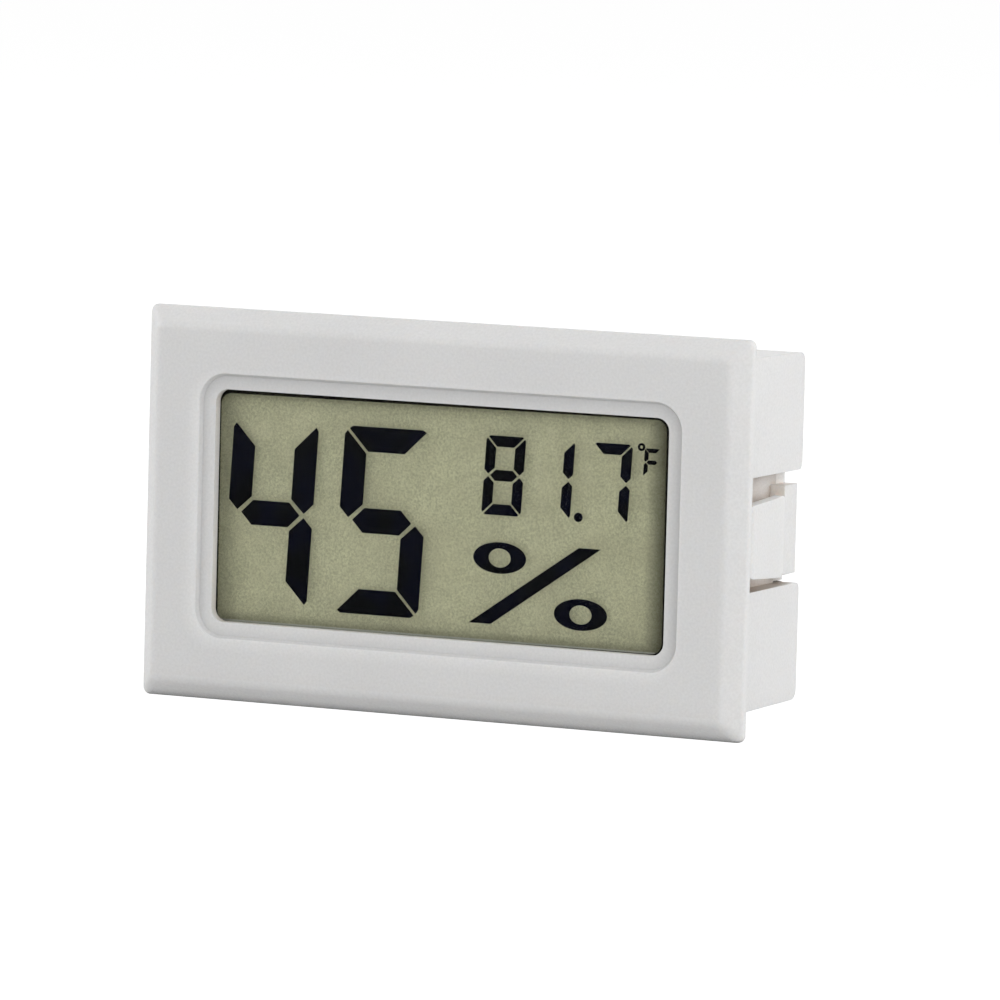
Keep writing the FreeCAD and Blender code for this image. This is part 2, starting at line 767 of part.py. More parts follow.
def battery_door():
    """The flat door over the cells, with two tabs at one end."""
    body = new_body("battery_door")
    half_width, half_height = door_half_width - d.fit, door_half_height - d.fit
    panel = body_sketch(body, "door_panel", level=door_seat, x=d.bay_shift)
    add_rounded_box(panel, 2 * half_width, 2 * half_height, d.door_corner)
    extrude(body, "Pad", panel, d.door_thickness, rearward=True)
    tabs = body_sketch(body, "door_tabs", level=door_seat, x=d.bay_shift)
    tab_half = d.door_tab_width / 2
    for z in (-d.door_tab_spacing / 2, d.door_tab_spacing / 2):
        add_box(tabs, -half_width - d.door_tab_length, -half_width + d.fit, z - tab_half, z + tab_half)
    extrude(body, "Pad", tabs, d.door_tab_thickness, rearward=True)
    return body


def door_bridge():
    """The strip on the door that joins the two cells, pressed with a dimple over each."""
    length = d.cell_pitch + 2 * d.bridge_end
    strip_y = door_seat - d.bridge_thickness
    strip = box("bridge_strip", length, d.bridge_thickness, d.bridge_height, d.bay_shift, strip_y, 0.0)
    dimples = []
    for name, side in (("left", -1), ("right", 1)):
        x = d.bay_shift + side * cell_offset
        dimple = disc(f"bridge_dimple_{name}", d.dimple_radius, d.bridge_thickness, x, cell_rear, 0.0)
        dimples.append(dimple)
    return labelled(boolean("MultiFuse", "bridge", [strip] + dimples), "door_bridge")


def button_cell(label, x, cap_rearward):
    """A button cell: a can with a smaller cap at one face."""
    can_depth = d.cell_height - d.cell_cap_height
    can_y = cell_face if cap_rearward else cell_face + d.cell_cap_height
    cap_y = cell_face + can_depth if cap_rearward else cell_face
    can = disc(label + "_can", d.cell_radius, can_depth, x, can_y, 0.0)
    cap = disc(label + "_cap", d.cell_cap_radius, d.cell_cap_height, x, cap_y, 0.0)
    return labelled(boolean("MultiFuse", label + "_fused", [can, cap]), label)


def cell_contact(label, x):
    """A leaf under a cell, with a raised end that bears on it and a leg to the board."""
    leaf_y = well_inside
    leaf = box(label + "_leaf", d.contact_width, d.contact_thickness, d.contact_height, x, leaf_y, 0.0)
    nub_depth = d.contact_lift - d.contact_thickness
    nub = disc(label + "_nub", d.contact_nub, nub_depth, x, leaf_y + d.contact_thickness, 0.0)
    leg_depth = leaf_y + d.contact_thickness - board_back
    leg_z = d.contact_height / 2 - d.contact_leg / 2
    leg = box(label + "_leg", d.contact_width, leg_depth, d.contact_leg, x, board_back, leg_z)
    return labelled(boolean("MultiFuse", label + "_fused", [leaf, nub, leg]), label)


def display_stack():
    """Polarizer, two glasses with their seal, reflector and the rubber connectors."""
    film_width = d.glass_width - 2 * d.film_inset
    film_height = d.window_height + 2 * d.border_width
    lit_height = 2 * inner_glass_half_height
    sheets = (
        ("lcd_front_polarizer", film_width, d.polarizer_thickness, film_height, display_front),
        ("lcd_front_glass", d.glass_width, d.glass_thickness, d.glass_height, front_glass_face),
        ("lcd_rear_glass", d.glass_width, d.rear_glass_thickness, lit_height, rear_glass_face),
        ("lcd_reflector", film_width, d.reflector_thickness, lit_height - 2 * d.fit, reflector_face),
    )
    pieces = []
    for name, width, depth, height, y in sheets:
        pieces.append(labelled(box(name + "_box", width, depth, height, 0.0, y, 0.0), name))
    outer = box("seal_outer", d.glass_width, d.glass_gap, lit_height, 0.0, ink_face, 0.0)
    hole_width, hole_height = d.glass_width - 2 * d.seal_width, lit_height - 2 * d.seal_width
    inner = box("seal_inner", hole_width, d.glass_gap, hole_height, 0.0, ink_face, 0.0)
    pieces.append(labelled(boolean("Cut", "seal", [outer, inner]), "lcd_seal"))
    middle = (glass_half_height + inner_glass_half_height) / 2
    depth = board_face - ink_face
    for name, z in (("zebra_strip_upper", middle), ("zebra_strip_lower", -middle)):
        strip = box(name + "_box", d.zebra_length, depth, d.zebra_thickness, 0.0, ink_face, z)
        pieces.append(labelled(strip, name))
    return pieces


# Shares of a digit's stroke: its outer corners are cut, and its bars end in shoulders and tips
CORNER_CUT = 0.25
CORNER_NICK = 0.1
SHOULDER = 0.55
TIP = 0.4


def segment_outlines(width, height, stroke, gap):
    """The seven bars of a digit as outlines about its centre, by their usual letters."""
    half_x, half_y = width / 2, height / 2
    shift = gap / math.sqrt(2)
    cut = stroke * CORNER_CUT
    nick = stroke * CORNER_NICK
    upright = [
        (-half_x, half_y - shift - cut),
        (-half_x + nick, half_y - shift - nick),
        (-half_x + stroke, half_y - stroke - shift),
        (-half_x + stroke, shift + SHOULDER * stroke),
        (-half_x + TIP * stroke, shift),
        (-half_x, shift + TIP * stroke),
    ]
    top = [
        (-half_x + shift + cut, half_y),
        (half_x - shift - cut, half_y),
        (half_x - shift - nick, half_y - nick),
        (half_x - stroke - shift, half_y - stroke),
        (-half_x + stroke + shift, half_y - stroke),
        (-half_x + shift + nick, half_y - nick),
    ]
    half_stroke = stroke / 2
    tip = half_x - half_stroke - shift
    shoulder = tip - half_stroke
    middle = [
        (-tip, as_size(0.0)),
        (-shoulder, half_stroke),
        (shoulder, half_stroke),
        (tip, as_size(0.0)),
        (shoulder, -half_stroke),
        (-shoulder, -half_stroke),
    ]
    return {
        "a": top,
        "b": [(-x, y) for x, y in upright],
        "c": [(-x, -y) for x, y in upright],
        "d": [(x, -y) for x, y in top],
        "e": [(x, -y) for x, y in upright],
        "f": upright,
        "g": middle,
    }


def in_the_gap(flat, name, x=0.0, z=0.0):
    """Stands a flat figure up between the glasses and gives it the depth of an ink layer."""
    rotation = FreeCAD.Rotation(FreeCAD.Vector(1, 0, 0), 90)
    place(flat, x, ink_face + d.ink_clearance, z, rotation)
    solid = doc.addObject("Part::Extrusion", name)
    solid.Base = flat
    solid.DirMode = "Custom"
    solid.Dir = FreeCAD.Vector(0, 1, 0)
    solid.Solid = True
    solid.FaceMakerClass = "Part::FaceMakerBullseye"
    set_size(solid, "LengthFwd", d.glass_gap - 2 * d.ink_clearance)
    flat.Visibility = False
    return solid


def display_marks(label, fill):
    """Draws marks in a sketch between the glasses and gives them the ink's depth."""
    sketch = doc.addObject("Sketcher::SketchObject", label + "_sketch")
    fill(sketch)
    return labelled(in_the_gap(sketch, label + "_marks"), label)


def add_digit(sketch, x, z, lit, width, height, stroke, gap):
    """Adds the lit bars of one digit, leaning with the display's slant."""
    outlines = segment_outlines(width, height, stroke, gap)
    for letter in lit:
        add_outline(sketch, [(x + u + d.slant * v, z + v) for u, v in outlines[letter]])


def fill_humidity(sketch):
    """The two large digits."""
    size = (d.digit_width, d.digit_height, d.digit_stroke, d.digit_gap)
    for x, lit in ((d.digit_first, "bcfg"), (d.digit_second, "acdfg")):
        add_digit(sketch, x, d.digit_rise, lit, *size)


def fill_temperature(sketch):
    """The three small digits and their point."""
    size = (d.small_width, d.small_height, d.small_stroke, d.small_gap)
    for x, lit in ((d.small_first, "abcdefg"), (d.small_second, "bc"), (d.small_third, "abc")):
        add_digit(sketch, x, d.small_rise, lit, *size)
    add_circle(sketch, d.point_radius, d.point_across, d.point_rise)


def fill_degree(sketch):
    """The degree ring and its letter."""
    size = (d.unit_width, d.unit_height, d.unit_stroke, d.unit_gap)
    add_digit(sketch, d.unit_across, d.unit_rise, "aefg", *size)
    add_circle(sketch, d.degree_radius, d.degree_across, d.degree_rise)
    add_circle(sketch, d.degree_hole, d.degree_across, d.degree_rise)


def percent_mark():
    """A slanting bar between two flattened rings."""

    def fill_bar(sketch):
        foot, top = (d.percent_bar_foot, d.percent_foot), (d.percent_bar_top, d.percent_top)
        outline = [foot, (foot[0] + d.percent_bar_width, foot[1])]
        outline += [(top[0] + d.percent_bar_width, top[1]), top]
        add_outline(sketch, outline)

    bar = display_marks("percent_bar", fill_bar)
    rings = []
    radii = (
        ("outer", d.percent_ring_across, d.percent_ring_rise),
        ("hole", d.percent_hole_across, d.percent_hole_rise),
    )
    centres = (
        (d.percent_first_across, d.percent_first_rise),
        (d.percent_second_across, d.percent_second_rise),
    )
    for number, centre in enumerate(centres, start=1):
        solids = []
        for part, major, minor in radii:
            oval = doc.addObject("Part::Ellipse", f"percent_{part}_{number}")
            set_size(oval, "MajorRadius", major)
            set_size(oval, "MinorRadius", minor)
            solids.append(in_the_gap(oval, f"percent_{part}_solid_{number}", *centre))
        rings.append(boolean("Cut", f"percent_ring_{number}", solids))
    mark = doc.addObject("Part::Compound", "percent")
    mark.Links = [bar] + rings
    return labelled(mark, "percent_mark")


def circuit_board():
    """The board, with an end notch round each of the case's pocket walls."""
    body = new_body("circuit_board")
    outline = body_sketch(body, "board_outline", level=board_face)
    add_outline(outline, stepped_outline(1.5 * d.fit))
    extrude(body, "Pad", outline, d.board_thickness, rearward=True)
    return body


# How finely a resin dome is turned, and how many chips stand in each row
DOME_STEPS = 4
RESISTOR_COUNT = 4
CAPACITOR_COUNT = 3


def turned(name, outline, x, z):
    """A solid turned round an axis along Y, from an outline of radii and lengths along Y."""
    sketch = doc.addObject("Sketcher::SketchObject", name + "_sketch")
    add_outline(sketch, outline)
    solid = doc.addObject("Part::Revolution", name)
    solid.Source = sketch
    solid.Axis = FreeCAD.Vector(0, 1, 0)
    solid.Solid = True
    sketch.Visibility = False
    place(solid, x, 0.0, z)
    return solid


def dome_edge(radius, height, y, start=0):
    """Points along an elliptic dome's edge, from its foot, or from below it, to its crown."""
    quarter = math.pi / 2
    angles = [quarter * step / DOME_STEPS for step in range(start, DOME_STEPS)]
    points = [(radius * math.cos(angle), y + height * math.sin(angle)) for angle in angles]
    return points + [(as_size(0.0), y + height)]


def board_parts():
    """What is soldered to the back of the board."""
    pieces = []
    dome = [(as_size(0.0), board_back)] + dome_edge(d.chip_radius, d.chip_height, board_back)
    pieces.append(labelled(turned("chip", dome, d.bay_shift, -d.chip_drop), "chip_blob"))
    # sensor: a thin plate held off the board on two legs
    sensor_y = board_back + d.sensor_stand_off
    sensor_size = (d.sensor_width, d.sensor_thickness, d.sensor_height)
    plate = box("sensor_plate", *sensor_size, d.vent_centre, sensor_y, 0.0)
    legs = []
    leg_rise = d.sensor_height / 2 - d.sensor_leg
    for name, z in (("lower", -leg_rise), ("upper", leg_rise)):
        leg_size = (d.sensor_leg, d.sensor_stand_off, d.sensor_leg)
        legs.append(box(f"sensor_leg_{name}", *leg_size, d.vent_centre, board_back, z))
    pieces.append(labelled(boolean("MultiFuse", "sensor", [plate] + legs), "humidity_sensor"))
    # thermistor: a bead on two leads
    bead_y = board_back + d.bead_stand_off + d.bead_radius
    bead_edge = dome_edge(d.bead_radius, d.bead_radius, bead_y, start=1 - DOME_STEPS)
    outline = [(as_size(0.0), bead_y - d.bead_radius)] + bead_edge
    solids = [turned("thermistor_bead", outline, d.bead_across, -d.bead_drop)]
    for name, side in (("left", -1), ("right", 1)):
        x = d.bead_across + side * d.lead_pitch / 2
        lead_size = (d.lead_thickness, bead_y - board_back, d.lead_thickness)
        solids.append(box(f"thermistor_lead_{name}", *lead_size, x, board_back, -d.bead_drop))
    pieces.append(labelled(boolean("MultiFuse", "thermistor_fused", solids), "thermistor"))
    # rows of small chips
    rows = (
        ("board_resistors", "resistor", RESISTOR_COUNT),
        ("board_capacitors", "capacitor", CAPACITOR_COUNT),
    )
    for label, kind, count in rows:
        start, pitch, width, depth, height = (
            getattr(d, f"{kind}_{size}") for size in ("start", "pitch", "width", "depth", "height")
        )
        chips = []
        for number in range(count):
            x = start + number * pitch
            chips.append(box(f"{label}_{number}", width, depth, height, x, board_back, d.row_rise))
        group = doc.addObject("Part::Compound", label + "_group")
        group.Links = chips
        pieces.append(labelled(group, label))
    return pieces


def build():
    """All pieces of the meter."""
    pieces = [front_case(), rear_cover(), battery_door(), door_bridge()]
    left, right = d.bay_shift - cell_offset, d.bay_shift + cell_offset
    pieces.append(button_cell("cell_left", left, cap_rearward=False))
    pieces.append(button_cell("cell_right", right, cap_rearward=True))
    pieces.append(cell_contact("contact_negative", left))
    pieces.append(cell_contact("contact_positive", right))
    pieces += display_stack()
    pieces.append(display_marks("humidity_digits", fill_humidity))
    pieces.append(display_marks("temperature_digits", fill_temperature))
    pieces.append(percent_mark())
    pieces.append(display_marks("degree_mark", fill_degree))
    pieces.append(circuit_board())
    pieces += board_parts()
    doc.recompute()
    return pieces


def check(pieces):
    """Stops if any object failed or any piece is not a valid solid."""
    for item in doc.Objects:
        if "Invalid" in item.State or "Error" in item.State:
            raise RuntimeError(f"{item.Label} is {item.State}")
    for piece in pieces:
        shape = piece.Shape
        if shape.isNull() or not shape.isValid() or not shape.Solids:
            raise RuntimeError(f"{piece.Label} has no valid solid")


pieces = build()
check(pieces)
os.makedirs("parts", exist_ok=True)
for piece in pieces:
    piece.Shape.exportStep(f"parts/{piece.Label}.step")
    print(piece.Label, len(piece.Shape.Solids), round(piece.Shape.Volume, 3))
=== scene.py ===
"""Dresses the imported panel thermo-hygrometer: its finishes, its studio and its camera.

Every length is in metres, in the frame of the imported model: +X right, +Z up, the display facing -Y.
"""
import logging
import math
from dataclasses import dataclass, replace
from enum import Enum
from typing import Protocol

import bpy
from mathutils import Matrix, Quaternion, Vector


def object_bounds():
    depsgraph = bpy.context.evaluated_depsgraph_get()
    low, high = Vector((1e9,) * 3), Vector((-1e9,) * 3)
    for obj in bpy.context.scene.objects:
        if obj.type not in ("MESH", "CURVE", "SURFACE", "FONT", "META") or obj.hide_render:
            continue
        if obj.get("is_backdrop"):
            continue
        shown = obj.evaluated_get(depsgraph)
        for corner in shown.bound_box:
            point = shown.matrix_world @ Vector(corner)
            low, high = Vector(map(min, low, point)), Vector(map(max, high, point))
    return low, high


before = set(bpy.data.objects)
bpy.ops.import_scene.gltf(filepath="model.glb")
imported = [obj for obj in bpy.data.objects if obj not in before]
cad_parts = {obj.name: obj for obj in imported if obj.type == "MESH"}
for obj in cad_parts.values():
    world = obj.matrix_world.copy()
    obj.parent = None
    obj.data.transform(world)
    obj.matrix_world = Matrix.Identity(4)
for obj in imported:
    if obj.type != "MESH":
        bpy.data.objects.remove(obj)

LOG = logging.getLogger("thermo_hygrometer")
MILLIMETRE = 0.001

# Between these two lies nearly all that a Noise node gives
NOISE_LOW = 0.3
NOISE_HIGH = 0.7

# The colour sockets of a Mix node, which share their names with those for numbers
MIX_SHARE = 0
MIX_FIRST = 6
MIX_SECOND = 7
MIX_RESULT = 2

OPAQUE = 1.0
OPENNESS_SAMPLES = 8
ROUNDING_SAMPLES = 6

# The height up to which a surface is near what the meter stands on, and the one from which it isn't
LOWEST_EDGE = (-13.0 * MILLIMETRE, -12.0 * MILLIMETRE)

# A ray crosses six clear faces to the reflector and six more to a lamp, and some of the ink's
CLEAR_FACES = 32

Colour = tuple[float, float, float]
Point = tuple[float, float, float]
Range = tuple[float, float]
Socket = bpy.types.NodeSocket
Value = Socket | float | tuple[float, ...]


class Sum(Enum):
    """A sum that a Math or a Vector Math node works out."""

    ADD = "ADD"
    SUBTRACT = "SUBTRACT"
    MULTIPLY = "MULTIPLY"
    SMALLER = "MINIMUM"
    LARGER = "MAXIMUM"
    POWER = "POWER"
    SIZE = "ABSOLUTE"


class Ray(Enum):
    """A kind of ray, by its output on a Light Path node."""

    CAMERA = "Is Camera Ray"
    GLOSSY = "Is Glossy Ray"
    TRANSMISSION = "Is Transmission Ray"
    DIFFUSE = "Is Diffuse Ray"
    SHADOW = "Is Shadow Ray"


def darkened(colour: Colour, share: float) -> Colour:
    """Scales the three parts of a colour.

    Args:
        colour: the colour.
        share: how much of it is left.

    Returns:
        The darker colour.
    """
    return tuple(share * part for part in colour)


@dataclass(frozen=True)
class Opening:
    """A rounded rectangle seen from the front, turned a little about its own centre."""

    left: float
    right: float
    foot: float
    top: float
    corner: float
    turn: float = 0.0

    @classmethod
    def in_millimetres(cls, left: float, right: float, foot: float, top: float, corner: float,
                       turn: float = 0.0) -> "Opening":
        """Makes an opening from lengths in millimetres.

        Args:
            left: where it starts along X.
            right: where it ends along X.
            foot: where it starts along Z.
            top: where it ends along Z.
            corner: the radius of its corners.
            turn: its turn about +Y, in radians.

        Returns:
            The opening, in metres.
        """
        lengths = (MILLIMETRE * length for length in (left, right, foot, top, corner))
        return cls(*lengths, turn)

    def moved(self, along_x: float, along_z: float) -> "Opening":
        """Moves the opening.

        Args:
            along_x: how far along X, in metres.
            along_z: how far along Z, in metres.

        Returns:
            The moved opening.
        """
        return replace(
            self, left=self.left + along_x, right=self.right + along_x,
            foot=self.foot + along_z, top=self.top + along_z)


class Recipe:
    """A new material and the few node steps that this meter's finishes are made of."""

    def __init__(self, name: str) -> None:
        """Starts an empty node material.

        Args:
            name: the material's name.
        """
        self.material = bpy.data.materials.new(name)
        self.material.use_nodes = True
        self.tree = self.material.node_tree
        self.tree.nodes.clear()
        self.place = self.add("ShaderNodeTexCoord").outputs["Object"]

    def add(self, kind: str, **settings: object) -> bpy.types.Node:
        """Adds a node.

        Args:
            kind: the node's type name.
            settings: properties to set on it.

        Returns:
            The node.
        """
        node = self.tree.nodes.new(kind)
        for key, value in settings.items():
            setattr(node, key, value)
        return node

    def feed(self, socket: Socket, value: Value) -> None:
        """Links an output to a socket, or sets the socket's own value.

        Args:
            socket: the input to fill.
            value: an output socket, a number, a vector, or a colour, which is made opaque.
        """
        if isinstance(value, Socket):
            self.tree.links.new(value, socket)
        elif isinstance(value, tuple) and len(value) < len(socket.default_value):
            socket.default_value = (*value, OPAQUE)
        else:
            socket.default_value = value

    def noise(self, size: float, detail: float = 2.0, stretch: Point = (1.0, 1.0, 1.0)) -> Socket:
        """Smooth random noise on object coordinates.

        Args:
            size: the width of one blotch, in metres.
            detail: how many finer layers lie over it.
            stretch: how many times finer it is along each axis.

        Returns:
            The noise's value, from about NOISE_LOW to NOISE_HIGH.
        """
        mapping = self.add("ShaderNodeMapping")
        self.feed(mapping.inputs["Vector"], self.place)
        mapping.inputs["Scale"].default_value = stretch
        noise = self.add("ShaderNodeTexNoise")
        self.feed(noise.inputs["Vector"], mapping.outputs["Vector"])
        noise.inputs["Scale"].default_value = 1.0 / size
        noise.inputs["Detail"].default_value = detail
        return noise.outputs["Fac"]

    def spread(self, value: Socket, low: float, high: float,
               start: float = NOISE_LOW, end: float = NOISE_HIGH) -> Socket:
        """Maps a value from one range to another, and holds it there.

        Args:
            value: the value to map.
            low: what start becomes.
            high: what end becomes.
            start: the value's lower end.
            end: the value's upper end.

        Returns:
            The mapped value.
        """
        node = self.add("ShaderNodeMapRange")
        self.feed(node.inputs["Value"], value)
        for name, number in (("From Min", start), ("From Max", end), ("To Min", low), ("To Max", high)):
            node.inputs[name].default_value = number
        return node.outputs["Result"]

    def blend(self, share: Value, first: Value, second: Value) -> Socket:
        """Mixes two colours.

        Args:
            share: how much of the second colour shows.
            first: a colour or a colour output.
            second: a colour or a colour output.

        Returns:
            The mixed colour.
        """
        node = self.add("ShaderNodeMix", data_type="RGBA")
        self.feed(node.inputs[MIX_SHARE], share)
        self.feed(node.inputs[MIX_FIRST], first)
        self.feed(node.inputs[MIX_SECOND], second)
        return node.outputs[MIX_RESULT]

    def dimmed(self, colour: Socket, factor: Socket) -> Socket:
        """Multiplies a colour by a number.

        Args:
            colour: the colour output.
            factor: the number output.

        Returns:
            The colour times the number.
        """
        node = self.add("ShaderNodeVectorMath", operation="SCALE")
        self.feed(node.inputs["Vector"], colour)
        self.feed(node.inputs["Scale"], factor)
        return node.outputs["Vector"]

    def worked(self, operation: Sum, first: Value, second: Value) -> Socket:
        """Works out one sum of two numbers.

        Args:
            operation: the sum.
            first: a number or a value output.
            second: a number or a value output.

        Returns:
            The result.
        """
        node = self.add("ShaderNodeMath", operation=operation.value)
        self.feed(node.inputs[0], first)
        self.feed(node.inputs[1], second)
        return node.outputs["Value"]

    def vector(self, operation: Sum, first: Socket, second: Point = (0.0, 0.0, 0.0)) -> Socket:
        """Works out one sum of a vector, part by part.

        Args:
            operation: the sum.
            first: a vector output.
            second: the other vector, where the sum takes two.

        Returns:
            The resulting vector.
        """
        node = self.add("ShaderNodeVectorMath", operation=operation.value)
        self.feed(node.inputs[0], first)
        self.feed(node.inputs[1], second)
        return node.outputs["Vector"]

    def depth_inside(self, opening: Opening) -> Socket:
        """How far a point lies inside an opening's edge, in metres.

        With q = |p| - (half size - corner) for p from the centre, that is
        corner - length(max(q, 0)) - min(max(q.x, q.z), 0).

        Args:
            opening: the rounded rectangle.

        Returns:
            The depth, below 0 outside the opening.
        """
        turned = self.add("ShaderNodeMapping", vector_type="TEXTURE")
        self.feed(turned.inputs["Vector"], self.place)
        turned.inputs["Location"].default_value = (
            (opening.left + opening.right) / 2.0, 0.0, (opening.foot + opening.top) / 2.0)
        turned.inputs["Rotation"].default_value = (0.0, opening.turn, 0.0)
        straight = (
            (opening.right - opening.left) / 2.0 - opening.corner, 0.0,
            (opening.top - opening.foot) / 2.0 - opening.corner)
        flat = self.vector(Sum.MULTIPLY, self.vector(Sum.SIZE, turned.outputs["Vector"]), (1.0, 0.0, 1.0))
        past_straight = self.vector(Sum.SUBTRACT, flat, straight)
        parts = self.add("ShaderNodeSeparateXYZ")
        self.feed(parts.inputs["Vector"], past_straight)
        nearest = self.worked(Sum.LARGER, parts.outputs["X"], parts.outputs["Z"])
        length = self.add("ShaderNodeVectorMath", operation="LENGTH")
        self.feed(length.inputs["Vector"], self.vector(Sum.LARGER, past_straight))
        past_edge = self.worked(
            Sum.ADD, length.outputs["Value"], self.worked(Sum.SMALLER, nearest, 0.0))
        return self.worked(Sum.SUBTRACT, opening.corner, past_edge)

    def openness(self, reach: float) -> Socket:
        """How open the surface lies: 1 in the open, and towards 0 in a corner or a hollow.

        Args:
            reach: how near a wall must be to count, in metres.

        Returns:
            The open share.
        """
        node = self.add("ShaderNodeAmbientOcclusion", samples=OPENNESS_SAMPLES)
        node.inputs["Distance"].default_value = reach
        return node.outputs["AO"]

    def off_the_floor(self, openness: Socket) -> Socket:
        """Counts the lowest edge as open, because it is only near what the meter stands on.

        Args:
            openness: the open share.

        Returns:
            The open share without the floor.
        """
        parts = self.add("ShaderNodeSeparateXYZ")
        self.feed(parts.inputs["Vector"], self.place)
        lowest = self.spread(parts.outputs["Z"], 1.0, 0.0, *LOWEST_EDGE)
        return self.worked(Sum.LARGER, openness, lowest)

    def relief(self, height: Socket, depth: float, edge: float = 0.0) -> Socket:
        """Turns a height pattern into a bent normal, over edges that shade as if they were rounded.

        Args:
            height: the pattern, 0 to 1.
            depth: how deep it is, in metres.
            edge: the radius of the rounded edges, in metres, or none.

        Returns:
            The normal.
        """
        node = self.add("ShaderNodeBump")
        self.feed(node.inputs["Height"], height)
        node.inputs["Distance"].default_value = depth
        if edge > 0.0:
            rounded = self.add("ShaderNodeBevel", samples=ROUNDING_SAMPLES)
            rounded.inputs["Radius"].default_value = edge
            self.feed(node.inputs["Normal"], rounded.outputs["Normal"])
        return node.outputs["Normal"]

    def mixed(self, share: Socket, first: Socket, second: Socket) -> Socket:
        """Mixes two shaders.

        Args:
            share: how much of the second shader shows.
            first: a shader output.
            second: a shader output.

        Returns:
            The mixed shader.
        """
        node = self.add("ShaderNodeMixShader")
        for socket, value in zip(node.inputs, (share, first, second)):
            self.feed(socket, value)
        return node.outputs["Shader"]

    def surface(self, **sockets: Value) -> bpy.types.Material:
        """Ends the recipe with a Principled surface.

        Args:
            sockets: its inputs by name, with spaces as underscores.

        Returns:
            The finished material.
        """
        shader = self.add("ShaderNodeBsdfPrincipled")
        for name, value in sockets.items():
            self.feed(shader.inputs[name.replace("_", " ")], value)
        return self.done(shader.outputs["BSDF"])

    def done(self, shader: Socket) -> bpy.types.Material:
        """Ends the recipe with any shader.

        Args:
            shader: the shader's output.

        Returns:
            The finished material.
        """
        output = self.add("ShaderNodeOutputMaterial")
        self.feed(output.inputs["Surface"], shader)
        return self.material


class Finish(Protocol):
    """What a slot can wear."""

    def material(self) -> bpy.types.Material:
        """Returns the finish as a new material."""


@dataclass(frozen=True)
class SunkBorderPaintedLight:
    """Painted light and shade beside the step of a sunk border: a painted highlight on the face outside it,
    and a painted shade across its ledge.

    Both fade with the depth inside the lit outline, which is the step's own, moved to its darker sides,
    where the painted shade is deeper.
    """

    edge: Opening
    lit_shift: Range = (-0.4 * MILLIMETRE, -0.3 * MILLIMETRE)
    # Painted shade across the ledge, and the depth at which it ends
    shade: float = 0.84
    shade_end: float = 1.2 * MILLIMETRE
    # Painted highlight: how much brighter the face is just outside the step, and over which depths it fades
    lip_highlight: float = 1.09
    lip_highlight_start: float = -0.7 * MILLIMETRE
    lip_highlight_end: float = 0.3 * MILLIMETRE
    blur: float = 0.06 * MILLIMETRE

    def tone(self, recipe: Recipe) -> Socket:
        """Adds the nodes for the painted highlight and the painted shade.

        Args:
            recipe: the material to add them to.

        Returns:
            The factor for the colour, 1 far from the step.
        """
        depth = recipe.depth_inside(self.edge.moved(*self.lit_shift))
        lip_highlight = recipe.spread(depth, 1.0, self.lip_highlight, self.lip_highlight_start, self.lip_highlight_end)
        shade = recipe.spread(depth, self.shade, 1.0, 0.0, self.shade_end)
        inside = recipe.spread(recipe.depth_inside(self.edge), 0.0, 1.0, 0.0, self.blur)
        change = recipe.worked(Sum.MULTIPLY, inside, recipe.worked(Sum.SUBTRACT, shade, lip_highlight))
        return recipe.worked(Sum.ADD, lip_highlight, change)


